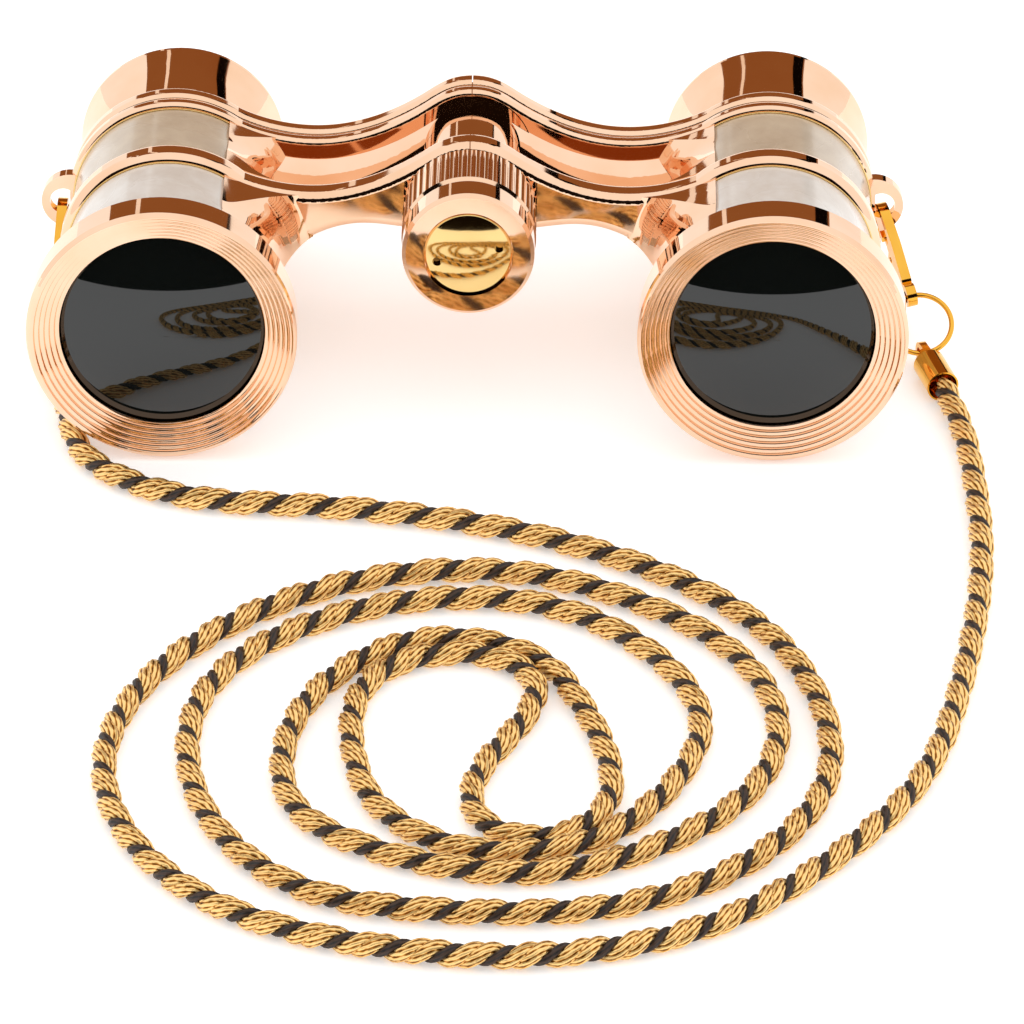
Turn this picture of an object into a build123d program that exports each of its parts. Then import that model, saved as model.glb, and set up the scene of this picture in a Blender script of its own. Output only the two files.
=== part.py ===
from build123d import *
import os
from math import atan2, cos, degrees, hypot, pi, radians, sin, tan

# A small hinged opera glass with centre focusing, lying on a table with its neck cord coiled in front.
# Millimetres.  Each piece of the instrument is drawn in the instrument's own frame: X across,
# Y rearward from the front edge of the objective bezels, Z up from the two optical axes.
# RESTING then lays it on its bezels and eyecup rims, which touch the table at Z 0 of the model.

# --- driving dimensions of the instrument -------------------------------------------------
HALF_SPACING = 36.0        # optical axis to the middle, hinge fully open
HINGE_HEIGHT = 7.0         # hinge and focusing axis above the optical axes
BEZEL_R = 16.0
BEZEL_FRONT_R = 15.8
BEZEL_END = 4.9
APERTURE_R = 12.16         # clear opening of the bezel
APERTURE_Y = 1.8
DISH_STEPS = 5
TUBE_R = 12.0
TUBE_BORE_R = 11.3
SLEEVE_R = 12.4            # mother-of-pearl bands round the tubes
FRONT_FLANGE = (22.2, 26.0)
FRONT_FLANGE_R = 13.35
REAR_FLANGE = (37.5, 39.5)
REAR_FLANGE_R = 13.1
EYE_RING_R = 12.9
EYE_ARM = (40.5, 43.0)
CUP_END = 55.5
CUP_RIM_R = 12.5
CUP_ROOT_R = 10.5
DRAW_R = 11.24             # draw tube, a running fit in the barrel tube
FOCUS_TRAVEL = 6.0
RUNNING = 0.06             # radial clearance of a running fit

HUB_R = 7.2                # hinge boss, as deep as the flanges
KNUCKLE_R = 6.0            # the slimmer knuckles between the flanges
SPINDLE_R = 3.0
SPINDLE_BORE_R = 2.15
SCREW_R = 2.05
CARRIAGE_R = 3.2
EYE_HUB_R = 5.4
FRONT_KNUCKLE_END = 28.0
MIDDLE_KNUCKLE = (28.1, 34.5)
REAR_KNUCKLE_START = 34.6
CLEFT = 0.06               # half the gap between the two arms above the hinge

KNOB_R = 8.0
KNOB = (8.5, 21.5)
KNURL = (12.6, 21.2)
FLUTES = 48
FLUTE_R = 0.42

LUG_CENTRE = 12.9          # from the optical axis
LUG_R = 3.5
LUG_PLATE = (37.5, 39.1)
LUG_HOLE_CENTRE = 13.75
LUG_HOLE_R = 1.65

# --- driving dimensions of the cord and its fittings --------------------------------------
CORD_D = 3.0
FERRULE_R = 1.95
FERRULE_BORE_R = 1.75
EYE_REACH = 2.7            # ferrule tail to its eye
RING_R = 3.85              # middle of the wire
RING_WIRE_R = 0.32
CLASP_THICKNESS = 1.2

# --- how it rests -------------------------------------------------------------------------
TILT = degrees(atan2(BEZEL_R - CUP_RIM_R, CUP_END - BEZEL_END))
LIFT = BEZEL_R * cos(radians(TILT)) + BEZEL_END * sin(radians(TILT))
FRONT_REACH = -BEZEL_FRONT_R * sin(radians(TILT))
REAR_REACH = CUP_END * cos(radians(TILT)) + CUP_RIM_R * sin(radians(TILT))
RESTING = Location((0, -(FRONT_REACH + REAR_REACH) / 2, LIFT), (-TILT, 0, 0))

os.makedirs("parts", exist_ok=True)


def save(part, label):
    """Write one finished piece, already in its place on the table."""
    part.label = label
    export_step(part, f"parts/{label}.step")


def station(y):
    """The plane across the instrument at a distance behind the bezels; extrusions from it go forward."""
    return Plane.XZ.offset(-y)


def turned(label, across, height, profile):
    """A piece turned about a fore-and-aft axis, from (radius, y) points."""
    with BuildPart() as piece:
        with BuildSketch(Plane(origin=(across, 0, height))):
            with BuildLine():
                Polyline(*profile, close=True)
            make_face()
        revolve(axis=Axis((across, 0, height), (0, 1, 0)))
    save(piece.part.moved(RESTING), label)


def arm_outline(side, top, bottom):
    """The outline of one arm seen from the front, hinge crown to barrel, drawn in at the top and bottom."""
    top_left = (side * CLEFT, 15.0 - top)
    top_right = (side * 29.3, 11.05 - top)
    low_left = (side * CLEFT, 2.6 + bottom)
    low_right = (side * 26.0, -6.0 + bottom)
    crown = (side * 5.8, 12.7 - top)
    dip = (side * 17.6, 8.3 - top)
    soffit = ((side * 7.6, 3.6 + bottom), (side * 13.0, 4.1 + bottom), (side * 19.2, 2.2 + bottom))
    Spline(top_left, crown, dip, top_right, tangents=((side, 0), (side, 0.62)))
    Line(top_right, low_right)
    Spline(low_right, *reversed(soffit), low_left, tangents=((-side * 0.45, 1), (-side, -0.25)))
    Line(low_left, top_left)


def arm_face(side, top=0.0, bottom=0.0):
    """The face of one arm's outline, to be added to a sketch across the instrument."""
    with BuildSketch() as face:
        with BuildLine():
            arm_outline(side, top, bottom)
        make_face()
    return face.sketch


def arm_plate(side, reach, ring_r, rim, inset=0.0):
    """One arm and the ring round its barrel, between two stations, with its rims rounded."""
    front, rear = reach
    with BuildPart() as plate:
        with BuildSketch(station(rear)):
            add(arm_face(side, inset, inset))
            with Locations((side * HALF_SPACING, 0)):
                Circle(ring_r)
        extrude(amount=rear - front)
        rims = [edge for edge in plate.edges()
                if min(abs(edge.center().Y - front), abs(edge.center().Y - rear)) < 1e-4
                and abs(edge.center().X) > 2 * CLEFT]
        fillet(rims, rim)
    return plate.part


def flare(side, profile):
    """A trumpet-shaped fillet from the arm on to its barrel, within the arm's outline."""
    first, last = profile[0][1], profile[-1][1]
    with BuildPart() as trumpet:
        with BuildSketch(Plane(origin=(side * HALF_SPACING, 0, 0))):
            with BuildLine():
                Spline(*profile)
                Polyline(profile[-1], (FLARE_ROOT_R, last), (FLARE_ROOT_R, first), profile[0])
            make_face()
        revolve(axis=Axis((side * HALF_SPACING, 0, 0), (0, 1, 0)))
        with BuildSketch(station(last)):
            add(arm_face(side, 0.25, 0.25))
        extrude(amount=last - first, mode=Mode.INTERSECT)
    return trumpet.part


def bar_along_y(across, height, radius, reach, mode):
    """A cylinder along Y between two stations, added to or taken from the part being built."""
    front, rear = reach
    with BuildSketch(station(rear)) as section:
        with Locations((across, height)):
            Circle(radius)
    extrude(section.sketch, amount=rear - front, mode=mode)


def turned_along_y(across, height, profile, mode):
    """A turned shape from (radius, y) points, closed on its axis, added to the part being built or cut out."""
    with BuildSketch(Plane(origin=(across, 0, height))) as section:
        with BuildLine():
            Polyline((0, profile[0][1]), *profile, (0, profile[-1][1]), close=True)
        make_face()
    revolve(section.sketch, axis=Axis((across, 0, height), (0, 1, 0)), mode=mode)


# --- frames: arms, rings, knuckles and strap lugs -----------------------------------------
FRONT_RIM = 1.2            # rounding of the flanges
REAR_RIM = 0.7
SADDLE = ((25.6, 1.6, 0.3), (26.5, 3.1, 0.3), (28.6, 4.0, 0.3), (31.75, 4.2, 0.3), (34.9, 4.0, 0.3),
          (37.0, 3.1, 0.3), (37.9, 1.2, 0.3))
FLARE_ROOT_R = 10.8        # inside the barrel, which is cut away afterwards
FRONT_FLARE = ((12.45, 12.0), (12.75, 15.5), (13.5, 18.4), (14.9, 20.8), (17.4, 22.4))
SADDLE_FLARE = ((15.0, 25.8), (13.5, 27.3), (12.75, 29.2), (12.55, 31.7), (12.75, 34.3), (13.5, 36.2),
                (15.0, 37.7))
KNUCKLE_CLEARANCE = 0.12
BETWEEN = (FRONT_FLANGE[1], REAR_FLANGE[0])

for side_name, side in (("left", -1), ("right", 1)):
    with BuildPart() as frame:
        add(arm_plate(side, FRONT_FLANGE, FRONT_FLANGE_R, FRONT_RIM))
        add(arm_plate(side, REAR_FLANGE, REAR_FLANGE_R, REAR_RIM))
        # the saddle between the two flanges
        for y, top, bottom in SADDLE:
            with BuildSketch(station(y)):
                add(arm_face(side, top, bottom))
        loft()
        add(flare(side, FRONT_FLARE))
        add(flare(side, SADDLE_FLARE))
        # the strap lug is an ear on the rear ring
        bar_along_y(side * (HALF_SPACING + LUG_CENTRE), 0, LUG_R, LUG_PLATE, Mode.ADD)
        bar_along_y(side * (HALF_SPACING + LUG_HOLE_CENTRE), 0, LUG_HOLE_R, LUG_PLATE, Mode.SUBTRACT)
        # room for the barrel: the tube through the rings, the pearl sleeves in front and between
        turned_along_y(side * HALF_SPACING, 0, (
            (SLEEVE_R, BEZEL_END), (SLEEVE_R, FRONT_FLANGE[0]), (TUBE_R, FRONT_FLANGE[0]),
            (TUBE_R, FRONT_FLANGE[1]), (SLEEVE_R, FRONT_FLANGE[1]), (SLEEVE_R, REAR_FLANGE[0]),
            (TUBE_R, REAR_FLANGE[0]), (TUBE_R, REAR_FLANGE[1] + 1)), Mode.SUBTRACT)
        clear_r, boss_r = KNUCKLE_R + KNUCKLE_CLEARANCE, HUB_R + KNUCKLE_CLEARANCE
        if side < 0:
            # the left half has the two outer knuckles, and the bosses in its flanges
            turned_along_y(0, HINGE_HEIGHT, ((clear_r, FRONT_KNUCKLE_END), (clear_r, REAR_KNUCKLE_START)),
                           Mode.SUBTRACT)
            turned_along_y(0, HINGE_HEIGHT, (
                (HUB_R, FRONT_FLANGE[0]), (HUB_R, FRONT_FLANGE[1]), (KNUCKLE_R, FRONT_FLANGE[1]),
                (KNUCKLE_R, FRONT_KNUCKLE_END)), Mode.ADD)
            turned_along_y(0, HINGE_HEIGHT, (
                (KNUCKLE_R, REAR_KNUCKLE_START), (KNUCKLE_R, REAR_FLANGE[0]), (HUB_R, REAR_FLANGE[0]),
                (HUB_R, REAR_FLANGE[1])), Mode.ADD)
            bore_r = SPINDLE_R
        else:
            # the right half turns about the left one's bosses, and has the middle knuckle
            turned_along_y(0, HINGE_HEIGHT, (
                (boss_r, FRONT_FLANGE[0] - 1), (boss_r, FRONT_FLANGE[1] + 0.05),
                (clear_r, FRONT_FLANGE[1] + 0.05), (clear_r, MIDDLE_KNUCKLE[0])), Mode.SUBTRACT)
            turned_along_y(0, HINGE_HEIGHT, (
                (clear_r, MIDDLE_KNUCKLE[1]), (clear_r, REAR_FLANGE[0] - 0.05),
                (boss_r, REAR_FLANGE[0] - 0.05), (boss_r, REAR_FLANGE[1] + 1)), Mode.SUBTRACT)
            turned_along_y(0, HINGE_HEIGHT, ((KNUCKLE_R, MIDDLE_KNUCKLE[0]), (KNUCKLE_R, MIDDLE_KNUCKLE[1])),
                           Mode.ADD)
            bore_r = SPINDLE_R + RUNNING
        turned_along_y(0, HINGE_HEIGHT, ((bore_r, FRONT_FLANGE[0] - 1), (bore_r, REAR_FLANGE[1] + 1)),
                       Mode.SUBTRACT)
    print(side_name, "frame solids", len(frame.part.solids()), round(frame.part.volume, 1))
    save(frame.part.moved(RESTING), f"{side_name}_frame")

# --- barrels: tube, pearl sleeves, bezel, objective and its retainer ----------------------
BEZEL_STEP = (BEZEL_FRONT_R - 0.7 - APERTURE_R) / DISH_STEPS
STEP_DEPTH = APERTURE_Y / DISH_STEPS
LENS_R = 11.98             # fills the opening; its shoulder sits on the tube's front edge
LENS_CROWN_Y = 0.35
LENS_EDGE_Y = 2.55
LENS_SHOULDER_Y = 2.95
LENS_BODY_R = TUBE_BORE_R - 0.04
LENS_BACK_Y = 7.4
RETAINER_END = 8.8

for side_name, side in (("left", -1), ("right", 1)):
    across = side * HALF_SPACING
    turned(f"{side_name}_barrel_tube", across, 0, (
        (TUBE_BORE_R, 3.0), (TUBE_R, 3.0), (TUBE_R, REAR_FLANGE[1]), (TUBE_BORE_R, REAR_FLANGE[1])))
    for band, (front, rear) in (("front", (BEZEL_END, FRONT_FLANGE[0])), ("rear", BETWEEN)):
        turned(f"{side_name}_{band}_sleeve", across, 0, (
            (TUBE_R, front), (SLEEVE_R, front), (SLEEVE_R, rear), (TUBE_R, rear)))
    dish = []
    for step in range(DISH_STEPS):
        r = BEZEL_FRONT_R - 0.7 - step * BEZEL_STEP
        dish += [(r, step * STEP_DEPTH), (r - 0.12, (step + 1) * STEP_DEPTH)]
    turned(f"{side_name}_objective_bezel", across, 0, (
        (TUBE_R, 3.0), (APERTURE_R, 2.6), (APERTURE_R, APERTURE_Y), *reversed(dish),
        (BEZEL_FRONT_R - 0.25, 0.0), (BEZEL_FRONT_R, 0.25), (BEZEL_R, 0.7), (BEZEL_R, BEZEL_END),
        (TUBE_R, BEZEL_END)))
    turned(f"{side_name}_lens_retainer", across, 0, (
        (10.7, LENS_BACK_Y + 0.1), (TUBE_BORE_R, LENS_BACK_Y + 0.1), (TUBE_BORE_R, RETAINER_END),
        (10.7, RETAINER_END)))
    with BuildPart() as lens:
        with BuildSketch(Plane(origin=(across, 0, 0))):
            with BuildLine():
                ThreePointArc((0, LENS_CROWN_Y), (LENS_R / 2, LENS_CROWN_Y + 0.54), (LENS_R, LENS_EDGE_Y))
                Polyline((LENS_R, LENS_EDGE_Y), (LENS_R, LENS_SHOULDER_Y), (LENS_BODY_R, LENS_SHOULDER_Y),
                         (LENS_BODY_R, LENS_BACK_Y), (0, LENS_BACK_Y), (0, LENS_CROWN_Y))
            make_face()
        revolve(axis=Axis((across, 0, 0), (0, 1, 0)))
    save(lens.part.moved(RESTING), f"{side_name}_objective_lens")

# --- eyepieces: bridge arm, draw tube, flared cup, eye lens and its retainer --------------
EYE_SPLIT = 41.75
DRAW_START = 30.0
DRAW_BORE_R = 10.4
CUP_SPIGOT_Y = 40.6
EYE_LENS_R = 9.2
EYE_LENS = (45.0, 47.0)
EYE_RETAINER_END = 48.2
EYE_ARM_RIM = 0.8

for side_name, side in (("left", -1), ("right", 1)):
    across = side * HALF_SPACING
    own, other = (EYE_ARM[0], EYE_SPLIT - 0.04), (EYE_SPLIT + 0.04, EYE_ARM[1])
    if side > 0:
        own, other = other, own
    with BuildPart() as eye_arm:
        add(arm_plate(side, EYE_ARM, EYE_RING_R, EYE_ARM_RIM, 0.1))
        bar_along_y(0, HINGE_HEIGHT, EYE_HUB_R + KNUCKLE_CLEARANCE, EYE_ARM, Mode.SUBTRACT)
        bar_along_y(0, HINGE_HEIGHT, EYE_HUB_R, own, Mode.ADD)
        with BuildSketch(station(own[1])):
            with Locations((side * (EYE_HUB_R - 0.2), HINGE_HEIGHT - 0.5)):
                Rectangle(2.4, 4.2)
        extrude(amount=own[1] - own[0])
        bore = CARRIAGE_R if side < 0 else CARRIAGE_R + RUNNING
        bar_along_y(0, HINGE_HEIGHT, bore, EYE_ARM, Mode.SUBTRACT)
        bar_along_y(across, 0, DRAW_R, EYE_ARM, Mode.SUBTRACT)
    save(eye_arm.part.moved(RESTING), f"{side_name}_eyepiece_arm")
    turned(f"{side_name}_draw_tube", across, 0, (
        (DRAW_BORE_R, DRAW_START), (DRAW_R, DRAW_START), (DRAW_R, EYE_ARM[1]), (DRAW_BORE_R, EYE_ARM[1])))
    with BuildPart() as cup:
        with BuildSketch(Plane(origin=(across, 0, 0))):
            with BuildLine():
                Polyline((CUP_ROOT_R, EYE_ARM[1]), (DRAW_BORE_R, EYE_ARM[1]), (DRAW_BORE_R, CUP_SPIGOT_Y),
                         (8.6, CUP_SPIGOT_Y), (8.6, EYE_LENS[0]), (EYE_LENS_R, EYE_LENS[0]),
                         (EYE_LENS_R, EYE_RETAINER_END))
                Spline((EYE_LENS_R, EYE_RETAINER_END), (10.3, 50.5), (11.1, 53.2), (11.7, CUP_END))
                Polyline((11.7, CUP_END), (12.3, CUP_END), (CUP_RIM_R, 55.25), (CUP_RIM_R, 54.8))
                Spline((CUP_RIM_R, 54.8), (11.95, 52.5), (11.35, 49.8), (10.85, 46.6), (CUP_ROOT_R, EYE_ARM[1]))
            make_face()
        revolve(axis=Axis((across, 0, 0), (0, 1, 0)))
    save(cup.part.moved(RESTING), f"{side_name}_eyecup")
    turned(f"{side_name}_eye_lens_retainer", across, 0, (
        (8.5, EYE_LENS[1]), (EYE_LENS_R, EYE_LENS[1]), (EYE_LENS_R, EYE_RETAINER_END), (8.7, EYE_RETAINER_END)))
    with BuildPart() as eye_lens:
        with BuildSketch(Plane(origin=(across, 0, 0))):
            with BuildLine():
                ThreePointArc((0, EYE_LENS[0] + 0.9), (4.6, EYE_LENS[0] + 1.1), (8.4, EYE_LENS[1] - 0.1))
                Polyline((8.4, EYE_LENS[1] - 0.1), (EYE_LENS_R, EYE_LENS[1] - 0.1), (EYE_LENS_R, EYE_LENS[0]),
                         (0, EYE_LENS[0]), (0, EYE_LENS[0] + 0.9))
            make_face()
        revolve(axis=Axis((across, 0, 0), (0, 1, 0)))
    save(eye_lens.part.moved(RESTING), f"{side_name}_eye_lens")

# --- hinge spindle, nut and washer, focusing knob, screw and carriage ---------------------
WASHER = (21.6, 22.2)
NUT = (39.5, 40.2)

turned("hinge_spindle", 0, HINGE_HEIGHT, (
    (SPINDLE_BORE_R, WASHER[1]), (SPINDLE_R, WASHER[1]), (SPINDLE_R, NUT[1]), (SPINDLE_BORE_R, NUT[1])))
turned("knob_washer", 0, HINGE_HEIGHT, (
    (SCREW_R + 0.1, WASHER[0]), (5.6, WASHER[0]), (5.6, WASHER[1]), (SCREW_R + 0.1, WASHER[1])))
turned("hinge_nut", 0, HINGE_HEIGHT, (
    (SPINDLE_R, NUT[0]), (4.6, NUT[0]), (4.6, NUT[1]), (SPINDLE_R, NUT[1])))
turned("focus_carriage", 0, HINGE_HEIGHT, (
    (SCREW_R, EYE_ARM[0]), (CARRIAGE_R, EYE_ARM[0]), (CARRIAGE_R, 43.1), (4.6, 43.1), (4.6, 44.0),
    (CARRIAGE_R, 44.3), (CARRIAGE_R, 50.6), (2.4, 51.6), (0, 51.6), (0, 50.8), (SCREW_R, 50.8)))
SCREW_FRONT = 12.0
SCREW_END = 46.5
turned("focus_screw", 0, HINGE_HEIGHT, (
    (0, SCREW_FRONT), (SCREW_R, SCREW_FRONT), (SCREW_R, SCREW_END), (0, SCREW_END)))

CAP_R = 5.4
CAP_GROOVE = 0.2           # dark ring between the cap and the knob
SPANNER_HOLE_X = 3.7

with BuildPart() as knob:
    with BuildSketch(Plane(origin=(0, 0, HINGE_HEIGHT))):
        with BuildLine():
            Polyline((0, KNOB[0] + 1.2), (CAP_R, KNOB[0] + 1.2), (CAP_R, KNOB[0]), (KNOB_R - 0.6, KNOB[0]),
                     (KNOB_R - 0.15, KNOB[0] + 0.4), (KNOB_R - 0.15, KNURL[0] - 0.3), (KNOB_R - 0.5, KNURL[0]),
                     (KNOB_R - 0.5, KNURL[0] + 0.3), (KNOB_R, KNURL[0] + 0.6), (KNOB_R, KNURL[1] - 0.4),
                     (KNOB_R - 0.4, KNOB[1]), (SCREW_R, KNOB[1]), (SCREW_R, SCREW_FRONT), (0, SCREW_FRONT),
                     close=True)
        make_face()
    revolve(axis=Axis((0, 0, HINGE_HEIGHT), (0, 1, 0)))
    with BuildSketch(Plane(origin=(0, KNOB[1], HINGE_HEIGHT), x_dir=(1, 0, 0), z_dir=(0, -1, 0))):
        with PolarLocations(KNOB_R + 0.08, FLUTES):
            Circle(FLUTE_R)
    extrude(amount=KNOB[1] - KNURL[0] - 0.6, mode=Mode.SUBTRACT)
save(knob.part.moved(RESTING), "focus_knob")

with BuildPart() as cap:
    with BuildSketch(Plane(origin=(0, 0, HINGE_HEIGHT))):
        with BuildLine():
            Line((0, KNOB[0] + 1.2), (0, KNOB[0] - 0.45))
            ThreePointArc((0, KNOB[0] - 0.45), (2.5, KNOB[0] - 0.29), (CAP_R - 0.4, KNOB[0] + 0.2))
            Polyline((CAP_R - 0.4, KNOB[0] + 0.2), (CAP_R - CAP_GROOVE, KNOB[0] + 0.35),
                     (CAP_R - CAP_GROOVE, KNOB[0] + 1.2), (0, KNOB[0] + 1.2))
        make_face()
    revolve(axis=Axis((0, 0, HINGE_HEIGHT), (0, 1, 0)))
    for hole_side in (-1, 1):
        with BuildSketch(station(KNOB[0] + 0.6)):
            with Locations((hole_side * SPANNER_HOLE_X, HINGE_HEIGHT + hole_side * 0.9)):
                Circle(0.55)
        extrude(amount=2.0, mode=Mode.SUBTRACT)
save(cap.part.moved(RESTING), "knob_cap")

# --- clasps, jump rings and ferrules, drawn in place on the table -------------------------
# Distances out from the middle; the right fittings lie further out than the left ones.
LUG_WALL = RESTING * Location((HALF_SPACING + LUG_HOLE_CENTRE, sum(LUG_PLATE) / 2, -2.5))
RING_SLOPE = (0.0, 0.81, 0.586)
FITTINGS = (
    ("left", -1, dict(lean=0.15, eye=(50.3, 0.77, 6.36), ring=(49.6, -2.3, 4.15), tail=(49.3, -8.0),
                      mouth=(48.7, -13.7))),
    ("right", 1, dict(lean=0.4, eye=(53.2, 0.69, 6.3), ring=(54.3, -2.3, 4.15), tail=(55.3, -8.0),
                      mouth=(56.8, -13.4))),
)
# in the clasp's own plane: distance from its loop towards its eye, and across
PIVOT = (4.9, 1.2)
LEVER_HUB_R = 0.75
RIVET_R = 0.36
SLOT_WIDTH = 0.7


def in_plane(origin, along, across):
    """A sketch plane from a point, its local x direction and its normal."""
    return Plane(origin=origin, x_dir=along, z_dir=across)


for side_name, side, place in FITTINGS:
    loop = Vector(side * (LUG_WALL.position.X + place["lean"]), LUG_WALL.position.Y, LUG_WALL.position.Z)
    eye = Vector(side * place["eye"][0], place["eye"][1], place["eye"][2])
    along = eye - loop
    length = along.length
    flat = Vector(1, 0, 0)
    flat = (flat - along * (flat.dot(along) / length ** 2)).normalized()
    clasp_plane = in_plane(loop, along, flat)
    with BuildPart() as clasp:
        with BuildSketch(clasp_plane):
            with Locations((0, 0)):
                Circle(2.35)
            with Locations((4.6, 0)):
                Circle(2.2)
            with Locations((length - 2.5, 0)):
                Circle(1.15)
            make_hull()
            with Locations((length - 0.2, 0)):
                Circle(1.4)
            with BuildSketch(mode=Mode.PRIVATE) as mouth_shape:
                with Locations((0, 0)):
                    Circle(1.55)
                with Locations((2.6, 0)):
                    Circle(1.15)
                make_hull()
            add(mouth_shape.sketch, mode=Mode.SUBTRACT)
            # the side that the lever closes
            with Locations((2.7, 2.3)):
                Rectangle(2.6, 3.0, mode=Mode.SUBTRACT)
            with Locations((length, 0)):
                Circle(0.72, mode=Mode.SUBTRACT)
        extrude(amount=CLASP_THICKNESS / 2, both=True)
        # the slot between the two cheeks that hold the lever
        with BuildSketch(clasp_plane):
            with Locations(PIVOT):
                Circle(LEVER_HUB_R + 0.15)
            with Locations((PIVOT[0] - 1.6, PIVOT[1])):
                Rectangle(3.2, 1.9)
            with Locations((PIVOT[0] - 0.6, PIVOT[1] + 1.0)):
                Rectangle(3.1, 2.0)
        extrude(amount=SLOT_WIDTH / 2, both=True, mode=Mode.SUBTRACT)
        with BuildSketch(clasp_plane):
            with Locations(PIVOT):
                Circle(RIVET_R)
        extrude(amount=CLASP_THICKNESS, both=True, mode=Mode.SUBTRACT)
    save(clasp.part, f"{side_name}_clasp_body")
    with BuildPart() as lever:
        with BuildSketch(clasp_plane):
            with Locations(PIVOT):
                Circle(LEVER_HUB_R)
            with Locations((1.8, 1.75)):
                Circle(0.33)
            make_hull()
            with Locations(PIVOT):
                Circle(RIVET_R + 0.04, mode=Mode.SUBTRACT)
        extrude(amount=SLOT_WIDTH / 2 - 0.06, both=True)
    save(lever.part, f"{side_name}_clasp_lever")
    with BuildPart() as rivet:
        with BuildSketch(clasp_plane):
            with Locations(PIVOT):
                Circle(RIVET_R)
        extrude(amount=CLASP_THICKNESS / 2 + 0.1, both=True)
    save(rivet.part, f"{side_name}_clasp_rivet")
    centre = Vector(side * place["ring"][0], place["ring"][1], place["ring"][2])
    slope = Vector(*RING_SLOPE)
    ring_plane = in_plane(centre, (1, 0, 0), Vector(1, 0, 0).cross(slope))
    with BuildPart() as ring:
        with BuildSketch(Plane(origin=centre + Vector(RING_R, 0, 0), x_dir=(1, 0, 0), z_dir=slope)):
            Circle(RING_WIRE_R)
        revolve(axis=Axis(centre, ring_plane.z_dir))
    save(ring.part, f"{side_name}_jump_ring")
    tail = Vector(side * place["tail"][0], place["tail"][1], FERRULE_R)
    mouth = Vector(side * place["mouth"][0], place["mouth"][1], FERRULE_R)
    with BuildPart() as ferrule:
        with BuildSketch(in_plane(tail, (0, 0, 1), mouth - tail)):
            Circle(FERRULE_R)
        extrude(amount=(mouth - tail).length)
        with BuildSketch(in_plane(mouth, (0, 0, 1), tail - mouth)):
            Circle(FERRULE_BORE_R)
        extrude(amount=(mouth - tail).length - 1.0, mode=Mode.SUBTRACT)
        tab_plane = in_plane(tail, tail - mouth, Vector(0, 0, 1).cross(tail - mouth))
        with BuildSketch(tab_plane):
            with Locations((-0.4, 0)):
                Circle(1.6)
            with Locations((EYE_REACH, 0)):
                Circle(1.35)
            make_hull()
            with Locations((EYE_REACH, 0)):
                Circle(0.72, mode=Mode.SUBTRACT)
        extrude(amount=0.45, both=True)
    save(ferrule.part, f"{side_name}_ferrule")

# --- the neck cord, a flat loose double spiral on the table -------------------------------
# From the right ferrule it winds inward, turns back in the middle, and winds out again to the left one.
CORD_ROUTE = (
    (56.83, -13.5), (58.4, -19.3), (59.7, -30.0), (60.5, -52.0), (57.5, -76.5), (52.5, -99.0), (41.5, -115.5),
    (28.0, -129.0), (10.5, -134.5), (-7.5, -133.0), (-24.5, -126.5), (-35.5, -114.0), (-40.5, -97.5),
    (-37.0, -80.5), (-27.0, -66.5), (-13.0, -57.0), (4.0, -54.0), (19.5, -60.5), (31.5, -71.5), (37.0, -86.5),
    (33.5, -102.0), (22.0, -113.5), (8.0, -119.0), (-7.5, -115.0), (-19.0, -106.0), (-20.0, -91.0),
    (-15.0, -77.5), (-4.0, -68.5), (9.0, -72.5), (14.5, -85.0), (17.5, -97.0), (16.8, -105.5),
    (11.8, -111.2), (4.6, -110.5), (1.2, -104.5), (2.4, -97.0), (6.0, -90.0), (8.3, -84.5), (8.8, -78.6),
    (5.2, -74.0), (-1.0, -72.5), (-7.6, -75.0), (-11.6, -81.0), (-12.4, -91.0), (-9.5, -105.5),
    (1.0, -114.5), (15.0, -112.8), (24.0, -101.5), (28.5, -86.5), (22.5, -72.5), (11.0, -62.0),
    (-4.0, -60.5), (-19.0, -67.0), (-29.0, -79.0), (-31.0, -95.0), (-26.5, -111.0), (-16.0, -123.0),
    (1.0, -126.0), (18.5, -125.0), (32.5, -116.5), (41.5, -102.0), (42.0, -85.5), (36.0, -68.0),
    (23.5, -55.0), (5.5, -45.5), (-14.5, -41.0), (-33.5, -40.0), (-45.0, -32.0), (-47.9, -22.0),
    (-49.1, -10.2),
)
ARC_SHARE = 0.45

runs = [hypot(b[0] - a[0], b[1] - a[1]) for a, b in zip(CORD_ROUTE, CORD_ROUTE[1:])]
radii = []
for before, corner, after, run_in, run_out in zip(CORD_ROUTE, CORD_ROUTE[1:], CORD_ROUTE[2:], runs, runs[1:]):
    heading_in = Vector(corner[0] - before[0], corner[1] - before[1])
    heading_out = Vector(after[0] - corner[0], after[1] - corner[1])
    turn = radians(heading_in.get_angle(heading_out))
    radii.append(ARC_SHARE * min(run_in, run_out) / tan(turn / 2))
print("cord radii from", round(min(radii), 1), "to", round(max(radii), 1))

# it lies on the table, and rises a little into the ferrules at both ends
levels = [CORD_D / 2] * len(CORD_ROUTE)
levels[0] = levels[-1] = FERRULE_R - 0.15
levels[1] = levels[-2] = CORD_D / 2 + 0.1
with BuildPart() as cord:
    with BuildLine() as route:
        FilletPolyline(*[(x, y, z) for (x, y), z in zip(CORD_ROUTE, levels)], radius=radii)
    with BuildSketch(route.line ^ 0):
        Circle(CORD_D / 2)
    sweep()
cord_length = sum(edge.length for edge in route.edges())
print("cord length", round(cord_length, 1), "volume ratio",
      round(cord.part.volume / (cord_length * pi * CORD_D ** 2 / 4), 4))
save(cord.part, "neck_cord")
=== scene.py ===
"""A folding opera glass plated in rose gold, with pearl bands and a twisted neck cord, on a white table.

The metal pieces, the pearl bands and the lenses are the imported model's own nodes in worked finishes. The neck
cord and the gilt beads that close the pearl bands are modelled here, in the same frame and in metres.
"""

import logging
import math
from dataclasses import dataclass, field
from enum import Enum
from typing import Optional, Sequence

import bpy
import numpy as np
from mathutils import Matrix, Vector

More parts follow.
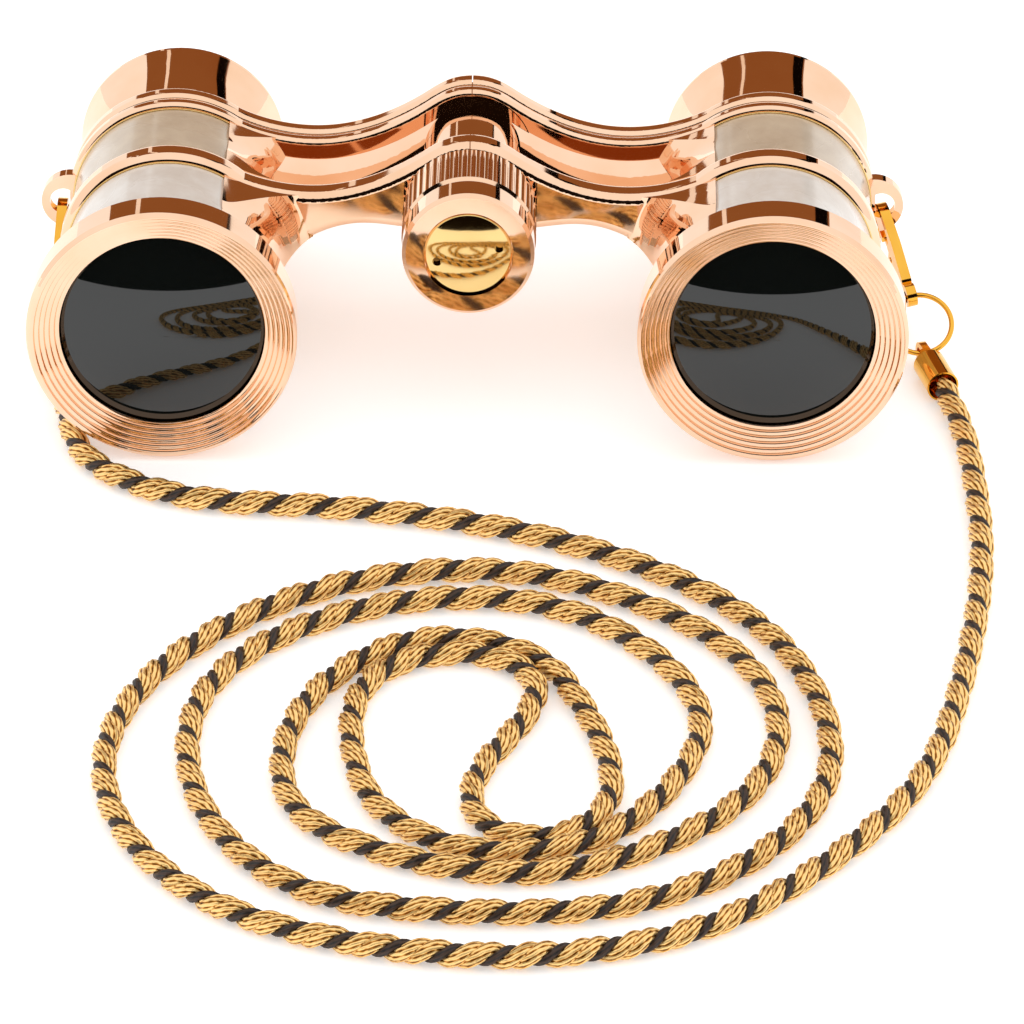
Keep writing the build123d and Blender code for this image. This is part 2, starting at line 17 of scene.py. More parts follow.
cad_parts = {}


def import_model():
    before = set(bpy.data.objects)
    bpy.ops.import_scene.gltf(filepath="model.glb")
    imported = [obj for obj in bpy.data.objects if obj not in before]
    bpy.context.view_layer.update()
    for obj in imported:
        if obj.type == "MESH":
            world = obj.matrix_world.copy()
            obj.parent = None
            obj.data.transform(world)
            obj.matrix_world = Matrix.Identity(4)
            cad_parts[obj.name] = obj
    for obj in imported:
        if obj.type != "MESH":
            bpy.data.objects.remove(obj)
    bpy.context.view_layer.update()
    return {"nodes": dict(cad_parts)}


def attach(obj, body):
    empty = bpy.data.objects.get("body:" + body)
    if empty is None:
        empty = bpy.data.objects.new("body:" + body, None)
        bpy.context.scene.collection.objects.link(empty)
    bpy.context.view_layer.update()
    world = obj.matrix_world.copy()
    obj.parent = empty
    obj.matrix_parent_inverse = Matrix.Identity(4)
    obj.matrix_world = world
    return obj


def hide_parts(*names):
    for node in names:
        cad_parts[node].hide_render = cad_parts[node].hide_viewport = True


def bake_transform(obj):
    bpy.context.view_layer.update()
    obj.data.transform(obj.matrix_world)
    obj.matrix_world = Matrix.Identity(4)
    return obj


LOG = logging.getLogger("opera_glass")
MM = 0.001
# how the instrument rests on its bezels and cups: tipped up in front, and moved to the model's origin
TILT_DEG = 3.957
REST_Y_MM = -27.57
REST_Z_MM = 16.30
HALF_SPACING_MM = 36.0


def mm(*values: float) -> Vector:
    """A point given in millimetres, in metres."""
    return Vector(value * MM for value in values)


def colour(code: str, alpha: float = 1.0) -> tuple[float, float, float, float]:
    """The linear colour of an sRGB hex value.

    Args:
        code: six hex digits, with or without a leading #.
        alpha: the fourth channel, kept as it is.

    Returns:
        Linear red, green, blue and alpha.
    """
    digits = code.lstrip("#")
    channels = [int(digits[i:i + 2], 16) / 255 for i in (0, 2, 4)]
    linear = [c / 12.92 if c <= 0.04045 else ((c + 0.055) / 1.055) ** 2.4 for c in channels]
    return (*linear, alpha)


# --- material nodes ------------------------------------------------------------------------


def add_node(tree: bpy.types.NodeTree, kind: str, settings: Optional[dict] = None,
             inputs: Optional[dict] = None) -> bpy.types.Node:
    """Adds one node.

    Args:
        tree: the node tree.
        kind: the node's type name.
        settings: properties of the node itself.
        inputs: socket name or number to a value, or to the output socket that feeds it.

    Returns:
        The new node.
    """
    node = tree.nodes.new(kind)
    for name, value in (settings or {}).items():
        setattr(node, name, value)
    for name, value in (inputs or {}).items():
        if isinstance(value, bpy.types.NodeSocket):
            tree.links.new(value, node.inputs[name])
        else:
            node.inputs[name].default_value = value
    return node


def ramp(tree: bpy.types.NodeTree, source: bpy.types.NodeSocket,
         stops: Sequence[tuple[float, tuple]]) -> bpy.types.NodeSocket:
    """A colour ramp over a value; returns its colour output."""
    node = add_node(tree, "ShaderNodeValToRGB", inputs={0: source})
    elements = node.color_ramp.elements
    while len(elements) < len(stops):
        elements.new(0.5)
    for element, (place, shade) in zip(elements, stops):
        element.position = place
        element.color = shade
    return node.outputs["Color"]


def new_material(name: str) -> tuple[bpy.types.Material, bpy.types.NodeTree, bpy.types.Node]:
    """An empty material with a Principled shader wired to its output."""
    material = bpy.data.materials.new(name)
    material.use_nodes = True
    tree = material.node_tree
    tree.nodes.clear()
    shader = add_node(tree, "ShaderNodeBsdfPrincipled")
    add_node(tree, "ShaderNodeOutputMaterial", inputs={"Surface": shader.outputs[0]})
    return material, tree, shader


def object_place(tree: bpy.types.NodeTree) -> bpy.types.NodeSocket:
    """The point in the object's own coordinates, which are metres in the shared frame."""
    return add_node(tree, "ShaderNodeTexCoord").outputs["Object"]


@dataclass(frozen=True)
class PlatedMetal:
    """Electroplated and buffed metal: a mirror with faint wipe marks and the odd softer patch.

    Metallic, so its colour is all in the reflection. Roughness near zero gives the hard-edged
    reflections of plating, and a fine noise keeps it from looking like glass.
    """

    name: str
    tint: str
    worn_tint: str
    roughness: float = 0.06
    haze: float = 0.05
    patch_mm: float = 9.0
    patch_range: tuple[float, float] = (0.35, 0.75)
    polish_mm: float = 0.5
    polish_depth: float = 0.004
    ring_pitch_mm: float = 0.0
    ring_depth_mm: float = 0.012

    def turned_rings(self, tree: bpy.types.NodeTree, place: bpy.types.NodeSocket) -> bpy.types.NodeSocket:
        """The height of the fine rings that a lathe tool cut round each barrel's axis."""
        from_axis = add_node(tree, "ShaderNodeVectorMath", {"operation": "SUBTRACT"}, {
            0: place, 1: (0.0, REST_Y_MM * MM, REST_Z_MM * MM)})
        level = add_node(tree, "ShaderNodeMapping", inputs={
            "Vector": from_axis.outputs[0], "Rotation": (math.radians(TILT_DEG), 0.0, 0.0)})
        parts = add_node(tree, "ShaderNodeSeparateXYZ", inputs={0: level.outputs[0]})
        either_side = add_node(tree, "ShaderNodeMath", {"operation": "ABSOLUTE"}, {0: parts.outputs["X"]})
        sideways = add_node(tree, "ShaderNodeMath", {"operation": "SUBTRACT"}, {
            0: either_side.outputs[0], 1: HALF_SPACING_MM * MM})
        flat = add_node(tree, "ShaderNodeCombineXYZ", inputs={
            "X": sideways.outputs[0], "Z": parts.outputs["Z"]})
        radius = add_node(tree, "ShaderNodeVectorMath", {"operation": "LENGTH"}, {0: flat.outputs[0]})
        turns = add_node(tree, "ShaderNodeMath", {"operation": "MULTIPLY"}, {
            0: radius.outputs["Value"], 1: 2 * math.pi / (self.ring_pitch_mm * MM)})
        return add_node(tree, "ShaderNodeMath", {"operation": "SINE"}, {0: turns.outputs[0]}).outputs[0]

    def build(self) -> bpy.types.Material:
        """Returns the finished material."""
        material, tree, shader = new_material(self.name)
        place = object_place(tree)
        patches = add_node(tree, "ShaderNodeTexNoise", inputs={
            "Vector": place, "Scale": 1 / (self.patch_mm * MM), "Detail": 3.0, "Roughness": 0.55})
        fine = add_node(tree, "ShaderNodeTexNoise", inputs={
            "Vector": place, "Scale": 1 / (self.polish_mm * MM), "Detail": 2.0, "Roughness": 0.5})
        bright, worn = self.patch_range
        tint = ramp(tree, patches.outputs["Fac"], (
            (bright, colour(self.tint)), (worn, colour(self.worn_tint))))
        rough = add_node(tree, "ShaderNodeMapRange", inputs={
            "Value": patches.outputs["Fac"], "From Min": bright, "From Max": worn,
            "To Min": self.roughness, "To Max": self.roughness + self.haze})
        bump = add_node(tree, "ShaderNodeBump", inputs={
            "Height": fine.outputs["Fac"], "Strength": self.polish_depth * 10,
            "Distance": self.polish_depth * MM})
        if self.ring_pitch_mm:
            bump = add_node(tree, "ShaderNodeBump", inputs={
                "Height": self.turned_rings(tree, place), "Normal": bump.outputs[0],
                "Strength": 1.0, "Distance": self.ring_depth_mm * MM})
        tree.links.new(tint, shader.inputs["Base Color"])
        tree.links.new(rough.outputs[0], shader.inputs["Roughness"])
        tree.links.new(bump.outputs[0], shader.inputs["Normal"])
        shader.inputs["Metallic"].default_value = 1.0
        return material


@dataclass(frozen=True)
class MotherOfPearl:
    """Shell veneer under clear lacquer, curved round a tube.

    Soft cloudy bands of warm and cool light inside the shell, with a hard lacquer gloss on top.
    """

    name: str
    light: str
    middle: str
    shade: str
    blush: str
    cloud_mm: float = 4.5
    bend_mm: float = 3.5
    growth_line_mm: float = 13.2
    roughness: tuple[float, float] = (0.22, 0.36)
    lacquer_weight: float = 0.6
    lacquer_roughness: float = 0.13

    def build(self) -> bpy.types.Material:
        """Returns the finished material."""
        material, tree, shader = new_material(self.name)
        place = object_place(tree)
        warp = add_node(tree, "ShaderNodeTexNoise", inputs={
            "Vector": place, "Scale": 1 / (self.cloud_mm * 1.6 * MM), "Detail": 2.0})
        bent = add_node(tree, "ShaderNodeVectorMath", {"operation": "MULTIPLY_ADD"}, {
            0: warp.outputs["Color"], 1: (self.bend_mm * MM,) * 3, 2: place})
        clouds = add_node(tree, "ShaderNodeTexNoise", inputs={
            "Vector": bent.outputs[0], "Scale": 1 / (self.cloud_mm * MM), "Detail": 4.0, "Roughness": 0.6})
        shell = ramp(tree, clouds.outputs["Fac"], (
            (0.22, colour(self.shade)), (0.45, colour(self.middle)), (0.66, colour(self.light)),
            (0.86, colour(self.blush))))
        grain = add_node(tree, "ShaderNodeTexWave", {"wave_type": "RINGS"}, {
            "Vector": bent.outputs[0], "Scale": 1 / (self.growth_line_mm * MM), "Distortion": 5.0,
            "Detail": 3.0})
        rough = add_node(tree, "ShaderNodeMapRange", inputs={
            "Value": grain.outputs["Fac"], "To Min": self.roughness[0], "To Max": self.roughness[1]})
        tree.links.new(shell, shader.inputs["Base Color"])
        tree.links.new(rough.outputs[0], shader.inputs["Roughness"])
        shader.inputs["Specular IOR Level"].default_value = 0.5
        shader.inputs["Coat Weight"].default_value = self.lacquer_weight
        shader.inputs["Coat Roughness"].default_value = self.lacquer_roughness
        shader.inputs["Sheen Weight"].default_value = 0.15
        return material


@dataclass(frozen=True)
class CoatedGlass:
    """Coated optical glass over a blackened barrel: a dark grey-green mirror with sharp, dim reflections."""

    name: str
    body: str
    index: float = 1.62
    roughness: float = 0.015
    dust_mm: float = 6.0

    def build(self) -> bpy.types.Material:
        """Returns the finished material."""
        material, tree, shader = new_material(self.name)
        dust = add_node(tree, "ShaderNodeTexNoise", inputs={
            "Vector": object_place(tree), "Scale": 1 / (self.dust_mm * MM), "Detail": 3.0})
        rough = add_node(tree, "ShaderNodeMapRange", inputs={
            "Value": dust.outputs["Fac"], "To Min": self.roughness, "To Max": self.roughness * 2.5})
        tree.links.new(rough.outputs[0], shader.inputs["Roughness"])
        shader.inputs["Base Color"].default_value = colour(self.body)
        shader.inputs["IOR"].default_value = self.index
        return material


@dataclass(frozen=True)
class MattPaint:
    """Matt black optical paint: it swallows stray light, with only a dull graze at the edges."""

    name: str
    tint: str
    roughness: float = 0.6
    roughness_spread: float = 0.1
    grit_mm: float = 0.3
    grit_depth_mm: float = 0.02

    def build(self) -> bpy.types.Material:
        """Returns the finished material."""
        material, tree, shader = new_material(self.name)
        grit = add_node(tree, "ShaderNodeTexNoise", inputs={
            "Vector": object_place(tree), "Scale": 1 / (self.grit_mm * MM), "Detail": 2.0})
        rough = add_node(tree, "ShaderNodeMapRange", inputs={
            "Value": grit.outputs["Fac"], "To Min": self.roughness - self.roughness_spread,
            "To Max": self.roughness + self.roughness_spread})
        bump = add_node(tree, "ShaderNodeBump", inputs={
            "Height": grit.outputs["Fac"], "Strength": 0.2, "Distance": self.grit_depth_mm * MM})
        tree.links.new(rough.outputs[0], shader.inputs["Roughness"])
        tree.links.new(bump.outputs[0], shader.inputs["Normal"])
        shader.inputs["Base Color"].default_value = colour(self.tint)
        return material


@dataclass(frozen=True)
class MetallicThread:
    """Lurex-like thread: flat metal film wound on a yarn. Its colour is painted lighter on the crests and at
    bead spots, as painted highlights, and brown-black in the grooves between, as painted shade.
    """

    name: str
    # crest colour: painted highlight; groove colour: painted shade; flank: the thread's own tone
    crest_highlight: str
    flank: str
    groove_shade: str
    metallic: float = 0.7
    roughness: float = 0.3
    bead_depth_mm: float = 0.05
    # how far the beads lift and drop the colour: painted glints
    bead_glint: float = 0.16
    fleck_mm: float = 0.8
    fleck_shade: float = 0.7

    def build(self) -> bpy.types.Material:
        """Returns the finished material; it reads the height and the beads that the strand's mesh carries, and
        paints them into the colour as highlights on crests and beads and as shade in the grooves.
        """
        material, tree, shader = new_material(self.name)
        height = add_node(tree, "ShaderNodeAttribute", {"attribute_name": "yarn_height"})
        phase = add_node(tree, "ShaderNodeAttribute", {"attribute_name": "bead_phase"})
        bead = add_node(tree, "ShaderNodeMath", {"operation": "SINE"}, {0: phase.outputs["Fac"]})
        fleck = add_node(tree, "ShaderNodeTexNoise", inputs={
            "Vector": object_place(tree), "Scale": 1 / (self.fleck_mm * MM), "Detail": 2.0, "Roughness": 0.6})
        # the ridge height, plus random flecks, picks the colour: painted shade low, painted highlight high
        fleck_and_ridge_shading = add_node(tree, "ShaderNodeMath", {"operation": "MULTIPLY_ADD"}, {
            0: fleck.outputs["Fac"], 1: self.fleck_shade, 2: height.outputs["Fac"]})
        painted_shading_level = add_node(tree, "ShaderNodeMath", {"operation": "MULTIPLY_ADD"}, {
            0: bead.outputs[0], 1: self.bead_glint, 2: fleck_and_ridge_shading.outputs[0]})
        # painted shade in the grooves, painted highlights on the crests and beads
        shade = ramp(tree, painted_shading_level.outputs[0], (
            (0.30, colour(self.groove_shade)), (0.72, colour(self.flank)), (1.0, colour(self.crest_highlight))))
        bump = add_node(tree, "ShaderNodeBump", inputs={
            "Height": bead.outputs[0], "Strength": 0.8, "Distance": self.bead_depth_mm * MM})
        tree.links.new(shade, shader.inputs["Base Color"])
        tree.links.new(bump.outputs[0], shader.inputs["Normal"])
        shader.inputs["Metallic"].default_value = self.metallic
        shader.inputs["Roughness"].default_value = self.roughness
        return material


class Finish(Enum):
    """The finishes of this object."""

    ROSE_GOLD = PlatedMetal("rose_gold_plating", "F6D0B2", "F0C4A0", roughness=0.03, haze=0.04)
    TURNED_ROSE_GOLD = PlatedMetal("turned_rose_gold_plating", "F6D0B2", "F0C4A0", roughness=0.03,
                                   haze=0.04, ring_pitch_mm=0.588)
    PALE_GOLD = PlatedMetal("champagne_gold_cap", "EBC988", "E2BC78", roughness=0.05)
    YELLOW_GOLD = PlatedMetal("yellow_gold_fittings", "F0B649", "E29E32", roughness=0.07)
    STEEL = PlatedMetal("turned_steel", "B9B7B2", "A5A39E", roughness=0.2)
    LIGHT_PEARL = MotherOfPearl("pale_pearl_band", "DBD2C9", "D2C6BA", "C8BAAD", "DACBC0")
    CHAMPAGNE_PEARL = MotherOfPearl("champagne_pearl_band", "C2AC90", "B8A186", "AC9478", "C2A98D")
    OPTICAL_GLASS = CoatedGlass("coated_optical_glass", "0B0E0D")
    BLACK = MattPaint("matt_black_lens_cell", "0C0A0A")
    # each thread's colours: a painted highlight for the crests, the thread's own tone, painted shade for the
    # grooves
    GOLD_THREAD = MetallicThread("gold_metallic_thread", "FFD68C", "CB7F1C", "3A1A02")
    BLACK_THREAD = MetallicThread("black_thread", "3A2416", "1E120B", "080403", metallic=0.0, roughness=0.5)


_MADE: dict[Finish, bpy.types.Material] = {}


def finish_material(finish: Finish) -> bpy.types.Material:
    """The material of a finish, built once."""
    if finish not in _MADE:
        _MADE[finish] = finish.value.build()
    return _MADE[finish]


def dress(piece: bpy.types.Object, finish: Finish) -> None:
    """Gives a whole piece one finish."""
    piece.data.materials.clear()
    piece.data.materials.append(finish_material(finish))


# --- the neck cord -------------------------------------------------------------------------


@dataclass(frozen=True)
class Strand:
    """One strand of the laid cord: where it stands in the section, and how its yarns are made."""

    name: str
    finish: Finish
    angle_deg: float
    helix_mm: float
    radius_mm: float
    yarns: int
    ridge: float


@dataclass
class NeckCord:
    """The three-strand neck cord, lying in a flat loose double spiral between the two ferrules."""

    diameter_mm: float = 3.0
    lay_mm: float = 5.8
    yarn_lay_mm: float = 5.2
    bead_mm: float = 0.9
    ring_step_mm: float = 0.37
    points_per_yarn: int = 4
    ridge_middle: float = 0.6
    path_step_mm: float = 1.5
    rise_to_ferrule_mm: float = 0.1
    level_mm: float = 1.5
    ferrule_level_mm: float = 1.8
    route_mm: Sequence[tuple[float, float]] = (
        (56.83, -13.5), (58.4, -19.3), (59.7, -30.0), (60.5, -52.0), (57.5, -76.5), (52.5, -99.0),
        (41.5, -115.5), (28.0, -129.0), (10.5, -134.5), (-7.5, -133.0), (-24.5, -126.5),
        (-35.5, -114.0), (-40.5, -97.5), (-37.0, -80.5), (-27.0, -66.5), (-13.0, -57.0),
        (4.0, -54.0), (19.5, -60.5), (31.5, -71.5), (37.0, -86.5), (33.5, -102.0), (22.0, -113.5),
        (8.0, -119.0), (-7.5, -115.0), (-19.0, -106.0), (-20.0, -91.0), (-15.0, -77.5),
        (-4.0, -68.5), (9.0, -72.5), (14.5, -85.0), (17.5, -97.0), (16.8, -105.5), (11.8, -111.2),
        (4.6, -110.5), (1.2, -104.5), (2.4, -97.0), (6.0, -90.0), (8.3, -84.5), (8.8, -78.6),
        (5.2, -74.0), (-1.0, -72.5), (-7.6, -75.0), (-11.6, -81.0), (-12.4, -91.0), (-9.5, -105.5),
        (1.0, -114.5), (15.0, -112.8), (24.0, -101.5), (28.5, -86.5), (22.5, -72.5), (11.0, -62.0),
        (-4.0, -60.5), (-19.0, -67.0), (-29.0, -79.0), (-31.0, -95.0), (-26.5, -111.0),
        (-16.0, -123.0), (1.0, -126.0), (18.5, -125.0), (32.5, -116.5), (41.5, -102.0),
        (42.0, -85.5), (36.0, -68.0), (23.5, -55.0), (5.5, -45.5), (-14.5, -41.0), (-33.5, -40.0),
        (-45.0, -32.0), (-47.9, -22.0), (-49.1, -10.2),
    )
    strands: Sequence[Strand] = (
        Strand("neck_cord_gold_strand_a", Finish.GOLD_THREAD, 0.0, 0.70, 0.78, 8, 0.20),
        Strand("neck_cord_gold_strand_b", Finish.GOLD_THREAD, 112.0, 0.70, 0.78, 8, 0.20),
        Strand("neck_cord_black_strand", Finish.BLACK_THREAD, 236.0, 0.68, 0.50, 6, 0.12),
    )
    blend_start_mm: tuple[float, float, float] = (57.0, -13.0, 1.5)
    blend_slope: tuple[float, float] = (-1.0, -0.3)
    blend_reach_mm: float = 35.0

    def centreline(self) -> np.ndarray:
        """Points of the cord's smooth line, close together, in metres."""
        data = bpy.data.curves.new("neck_cord_route", "CURVE")
        data.dimensions = "3D"
        spline = data.splines.new("NURBS")
        count = len(self.route_mm)
        spline.points.add(count - 1)
        for index, (point, (x, y)) in enumerate(zip(spline.points, self.route_mm)):
            from_end = min(index, count - 1 - index)
            raised = {0: self.ferrule_level_mm, 1: self.level_mm + self.rise_to_ferrule_mm}
            level = raised.get(from_end, self.level_mm)
            point.co = (*mm(x, y, level), 1.0)
        spline.order_u = 3
        spline.use_endpoint_u = True
        data.resolution_u = 24
        holder = bpy.data.objects.new("neck_cord_route", data)
        bpy.context.scene.collection.objects.link(holder)
        mesh = bpy.data.meshes.new_from_object(holder)
        points = np.array([v.co for v in mesh.vertices], float)
        bpy.data.objects.remove(holder)
        bpy.data.meshes.remove(mesh)
        return points

    @staticmethod
    def evenly(points: np.ndarray, step: float) -> tuple[np.ndarray, np.ndarray]:
        """The line again with evenly spaced points, and each one's distance from the start."""
        gaps = np.linalg.norm(np.diff(points, axis=0), axis=1)
        along = np.concatenate(([0.0], np.cumsum(gaps)))
        count = int(along[-1] / step) + 1
        wanted = np.linspace(0.0, along[-1], count)
        line = np.stack([np.interp(wanted, along, points[:, i]) for i in range(3)], axis=1)
        return line, wanted

    def strand_mesh(self, strand: Strand, line: np.ndarray, along: np.ndarray) -> bpy.types.Object:
        """One strand wound round the line, its yarns as ridges that wind the other way.

        Args:
            strand: which strand.
            line: evenly spaced points of the cord's line.
            along: each point's distance from the start.

        Returns:
            The strand's mesh object, with its ridge height and its beads' phase as attributes.
        """
        tangent = np.gradient(line, axis=0)
        tangent /= np.linalg.norm(tangent, axis=1, keepdims=True)
        side = np.cross((0.0, 0.0, 1.0), tangent)
        side /= np.linalg.norm(side, axis=1, keepdims=True)
        up = np.cross(tangent, side)
        # laid left-handed, so the turn runs backwards along the cord
        turn = math.radians(strand.angle_deg) - 2 * math.pi * along / (self.lay_mm * MM)
        out = np.cos(turn)[:, None] * side + np.sin(turn)[:, None] * up
        sideways = -np.sin(turn)[:, None] * side + np.cos(turn)[:, None] * up
        slope = -2 * math.pi * strand.helix_mm / self.lay_mm
        heading = tangent + slope * sideways
        heading /= np.linalg.norm(heading, axis=1, keepdims=True)
        across = np.cross(heading, out)
        centre = line + out * strand.helix_mm * MM
        per_ring = strand.yarns * self.points_per_yarn
        around = np.arange(per_ring) * 2 * math.pi / per_ring
        height = np.abs(np.cos(around * strand.yarns / 2))
        radius = strand.radius_mm * MM * (1 + strand.ridge * (height - self.ridge_middle))
        twist = 2 * math.pi * along / (self.yarn_lay_mm * MM)
        angle = around[None, :] + twist[:, None]
        rings = (centre[:, None, :] + radius[None, :, None] * (
            np.cos(angle)[..., None] * out[:, None, :] + np.sin(angle)[..., None] * across[:, None, :]))
        vertices = rings.reshape(-1, 3)
        starts = np.arange(len(line) - 1)[:, None] * per_ring
        ring = np.arange(per_ring)[None, :]
        following = (ring + 1) % per_ring
        faces = np.stack([starts + ring, starts + following, starts + per_ring + following,
                          starts + per_ring + ring], axis=2).reshape(-1, 4)
        ends = [list(range(per_ring))[::-1],
                [(len(line) - 1) * per_ring + i for i in range(per_ring)]]
        mesh = bpy.data.meshes.new(strand.name)
        mesh.from_pydata(vertices.tolist(), [], faces.tolist() + ends)
        attribute = mesh.attributes.new("yarn_height", "FLOAT", "POINT")
        attribute.data.foreach_set("value", np.tile(height, len(line)).astype(np.float32))
        phase = (2 * math.pi * along / (self.bead_mm * MM))[:, None] + around[None, :] * strand.yarns / 2
        beads = mesh.attributes.new("bead_phase", "FLOAT", "POINT")
        beads.data.foreach_set("value", phase.reshape(-1).astype(np.float32))
        mesh.shade_smooth()
        piece = bpy.data.objects.new(strand.name, mesh)
        bpy.context.scene.collection.objects.link(piece)
        return piece

    def build(self, hardware: Sequence[bpy.types.Object]) -> list[bpy.types.Object]:
        points = self.centreline()
        line, along = self.evenly(points, self.ring_step_mm * MM)
        made = []
        for strand in self.strands:
            piece = self.strand_mesh(strand, line, along)
            dress(piece, strand.finish)
            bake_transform(piece)
            made.append(piece)
        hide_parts("neck_cord")
        LOG.info("neck cord: %.0f mm in %d strands", along[-1] / MM, len(made))
        return made


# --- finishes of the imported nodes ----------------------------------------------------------


@dataclass
class Dresser:
    """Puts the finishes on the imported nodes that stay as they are."""

    nodes: dict[str, bpy.types.Object]
    one_of_each: dict[str, Finish] = field(default_factory=lambda: {
        "hinge_spindle": Finish.STEEL, "focus_screw": Finish.STEEL, "knob_washer": Finish.ROSE_GOLD,
        "hinge_nut": Finish.ROSE_GOLD, "focus_knob": Finish.ROSE_GOLD, "knob_cap": Finish.PALE_GOLD,
        "focus_carriage": Finish.ROSE_GOLD})
    on_each_side: dict[str, Finish] = field(default_factory=lambda: {
        "frame": Finish.ROSE_GOLD, "barrel_tube": Finish.BLACK, "front_sleeve": Finish.LIGHT_PEARL,
        "rear_sleeve": Finish.CHAMPAGNE_PEARL, "objective_bezel": Finish.TURNED_ROSE_GOLD,
        "objective_lens": Finish.OPTICAL_GLASS, "lens_retainer": Finish.BLACK,
        "eyepiece_arm": Finish.ROSE_GOLD, "draw_tube": Finish.ROSE_GOLD, "eyecup": Finish.ROSE_GOLD,
        "eye_lens": Finish.OPTICAL_GLASS, "eye_lens_retainer": Finish.BLACK,
        "clasp_body": Finish.YELLOW_GOLD, "clasp_lever": Finish.YELLOW_GOLD,
        "clasp_rivet": Finish.YELLOW_GOLD, "jump_ring": Finish.YELLOW_GOLD,
        "ferrule": Finish.YELLOW_GOLD})

    def dress_all(self) -> None:
        """Dresses every node."""
        for name, finish in self.one_of_each.items():
            dress(self.nodes[name], finish)
        for side in ("left", "right"):
            for name, finish in self.on_each_side.items():
                dress(self.nodes[f"{side}_{name}"], finish)


# --- gilt beads at the rear edge of each pearl band -----------------------------------------


@dataclass
class GiltBead:
    """The thin gilt wire that closes a pearl band where it meets its flange."""

    name: str
    body: str
    across_mm: float
    station_mm: float
    radius_mm: float = 12.45
    wire_mm: float = 0.13
    flatness: float = 0.8
    segments: int = 128
    wire_segments: int = 14

    def build(self) -> bpy.types.Object:
        """Models the bead as a torus, a little flat along the barrel, with its place in its mesh."""
        tilt = math.radians(TILT_DEG)
        place = mm(self.across_mm, self.station_mm * math.cos(tilt) + REST_Y_MM,
                   -self.station_mm * math.sin(tilt) + REST_Z_MM)
        bpy.ops.object.select_all(action="DESELECT")
        bpy.ops.mesh.primitive_torus_add(
            major_radius=self.radius_mm * MM, minor_radius=self.wire_mm * MM,
            major_segments=self.segments, minor_segments=self.wire_segments, location=place,
            rotation=(math.pi / 2 - tilt, 0, 0))
        piece = bpy.context.object
        piece.name = self.name
        piece.scale.z = self.flatness
        bpy.ops.object.transform_apply(location=True, rotation=True, scale=True)
        bpy.ops.object.shade_smooth()
        dress(piece, Finish.PALE_GOLD)
        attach(piece, self.body)
        return piece


# where each pearl band ends, measured back along the barrel from the bezel's face
BAND_END_MM = {"front": 21.95, "rear": 37.25}


def gilt_beads() -> list[bpy.types.Object]:
    """Both beads of both barrels."""
    made = [GiltBead(f"{side}_{band}_gilt_bead", f"{side}_half", sign * HALF_SPACING_MM, station).build()
            for side, sign in (("left", -1), ("right", 1))
            for band, station in BAND_END_MM.items()]
    LOG.info("gilt beads: %d", len(made))
    return made


# --- the studio ----------------------------------------------------------------------------


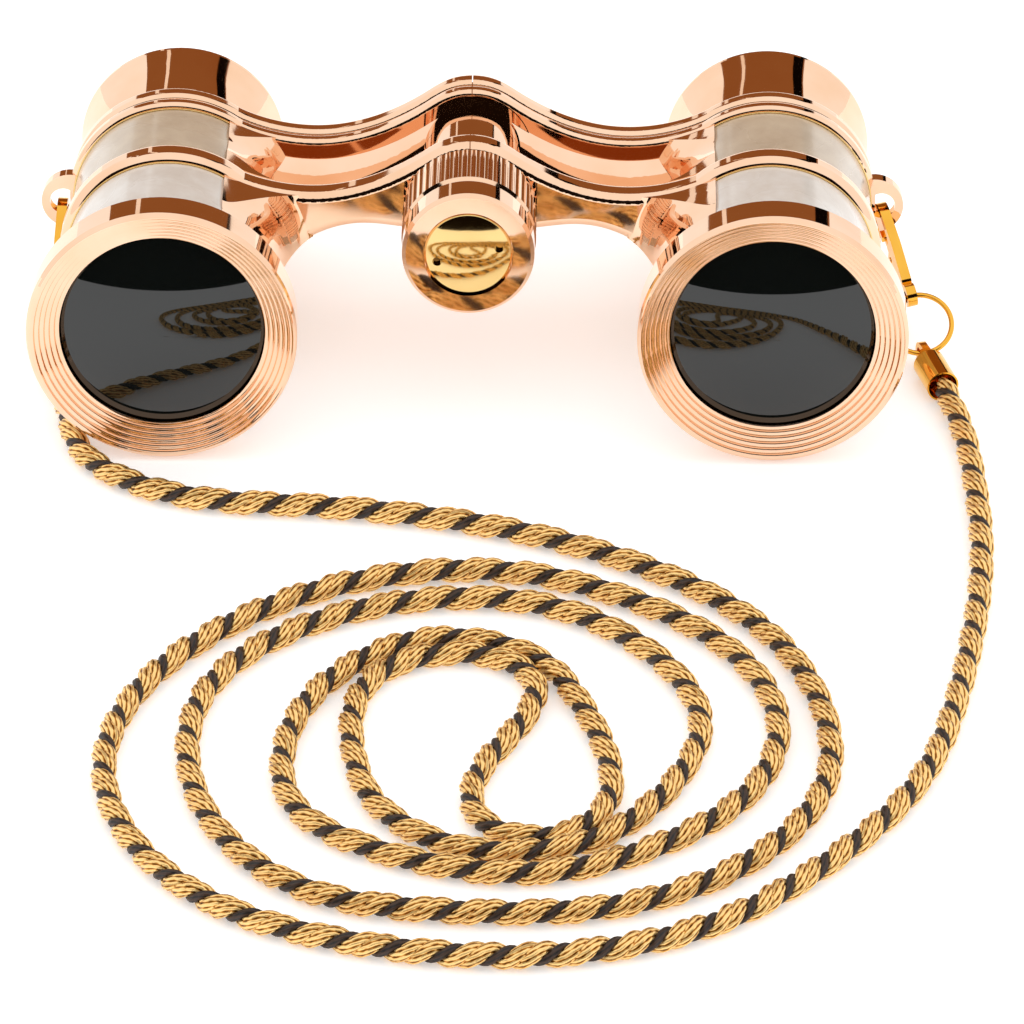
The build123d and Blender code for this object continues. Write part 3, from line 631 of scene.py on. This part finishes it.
@dataclass
class Studio:
    """A white table, soft white light all round, dark cards for the plating to mirror, and the camera."""

    camera_azimuth_deg: float = 0.698
    camera_elevation_deg: float = 31.41
    camera_distance_mm: float = 985.5
    aim_mm: tuple[float, float, float] = (5.44, -39.7, 0.0)
    lens_mm: float = 295.03
    table_m: float = 6.0
    near_limit_m: float = 0.01
    world_strength: float = 1.12
    table_glow: float = 0.32

    def card(self, name: str, corners: Sequence[tuple[float, float, float]], tint: str, glow: float) -> None:
        """A card that only reflections see.

        Args:
            name: its name.
            corners: its four corners in order, in metres.
            tint: its colour.
            glow: how strongly it glows; a dark card glows hardly at all.
        """
        mesh = bpy.data.meshes.new(name)
        mesh.from_pydata(list(corners), [], [(0, 1, 2, 3)])
        piece = bpy.data.objects.new(name, mesh)
        bpy.context.scene.collection.objects.link(piece)
        material = bpy.data.materials.new(f"{name}_paint")
        material.use_nodes = True
        tree = material.node_tree
        tree.nodes.clear()
        shine = add_node(tree, "ShaderNodeEmission", inputs={"Color": colour(tint), "Strength": glow})
        add_node(tree, "ShaderNodeOutputMaterial", inputs={"Surface": shine.outputs[0]})
        mesh.materials.append(material)
        piece.visible_camera = False
        piece.visible_diffuse = False
        piece.visible_shadow = False

    def upright_card(self, name: str, y: float, bottom: tuple[float, float, float],
                     top: tuple[float, float, float], tint: str, glow: float) -> None:
        """An upright card across the table; bottom and top are (height, left, right), in metres."""
        self.card(name, [(bottom[1], y, bottom[0]), (bottom[2], y, bottom[0]),
                         (top[2], y, top[0]), (top[1], y, top[0])], tint, glow)

    def cards(self) -> None:
        """The dark room in front, and behind the brown flag, its black edge and a bright slit in it."""
        self.upright_card("dark_room", -0.55, (0.0, -0.55, 0.55), (0.42, -0.55, 0.55), "201812", 0.6)
        self.upright_card("brown_flag", 0.60, (0.15, -0.26, 0.26), (0.80, -0.52, 0.52), "8F5C34", 1.0)
        self.upright_card("black_edge", 0.59, (0.15, 0.20, 0.25), (0.80, 0.36, 0.50), "140C08", 0.5)
        self.upright_card("window_slit", 0.59, (0.15, -0.16, -0.145), (0.80, -0.24, -0.20), "FFF4EA", 1.0)

    def floor(self) -> None:
        """The table top."""
        bpy.ops.mesh.primitive_plane_add(size=self.table_m, location=(0, 0, 0))
        table = bpy.context.object
        table.name = "table_top"
        material, _tree, shader = new_material("white_table")
        shader.inputs["Base Color"].default_value = colour("F8F8F8")
        shader.inputs["Roughness"].default_value = 0.9
        shader.inputs["Specular IOR Level"].default_value = 0.1
        shader.inputs["Emission Color"].default_value = colour("FFFFFF")
        shader.inputs["Emission Strength"].default_value = self.table_glow
        table.data.materials.append(material)

    def world(self) -> None:
        """Even white light from everywhere."""
        world = bpy.data.worlds.new("studio_white")
        bpy.context.scene.world = world
        world.use_nodes = True
        background = world.node_tree.nodes["Background"]
        background.inputs["Color"].default_value = (1, 1, 1, 1)
        background.inputs["Strength"].default_value = self.world_strength
        bpy.context.scene.view_settings.view_transform = "Standard"

    def camera(self) -> None:
        """The camera."""
        azimuth = math.radians(self.camera_azimuth_deg)
        elevation = math.radians(self.camera_elevation_deg)
        towards = Vector((math.sin(azimuth) * math.cos(elevation),
                          -math.cos(azimuth) * math.cos(elevation), math.sin(elevation)))
        place = mm(*self.aim_mm) + towards * self.camera_distance_mm * MM
        data = bpy.data.cameras.new("camera")
        data.lens = self.lens_mm
        data.clip_start = self.near_limit_m
        camera = bpy.data.objects.new("camera", data)
        bpy.context.scene.collection.objects.link(camera)
        turn = (-towards).to_track_quat("-Z", "Y").to_matrix().to_4x4()
        camera.matrix_world = Matrix.Translation(place) @ turn
        bpy.context.scene.camera = camera

    def build(self) -> None:
        """Sets the whole studio up."""
        self.floor()
        self.world()
        self.cards()
        self.camera()


def main() -> None:
    """Builds and dresses the whole object."""
    logging.basicConfig(level=logging.INFO, format="%(name)s: %(message)s")
    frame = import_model()
    bpy.ops.object.select_all(action="DESELECT")
    Studio().build()
    Dresser(frame["nodes"]).dress_all()
    hardware = [frame["nodes"][f"{side}_{name}"] for side in ("left", "right")
                for name in ("ferrule", "jump_ring", "clasp_body", "clasp_lever", "clasp_rivet")]
    gilt_beads()
    NeckCord().build(hardware)


if __name__ == "__main__":
    main()
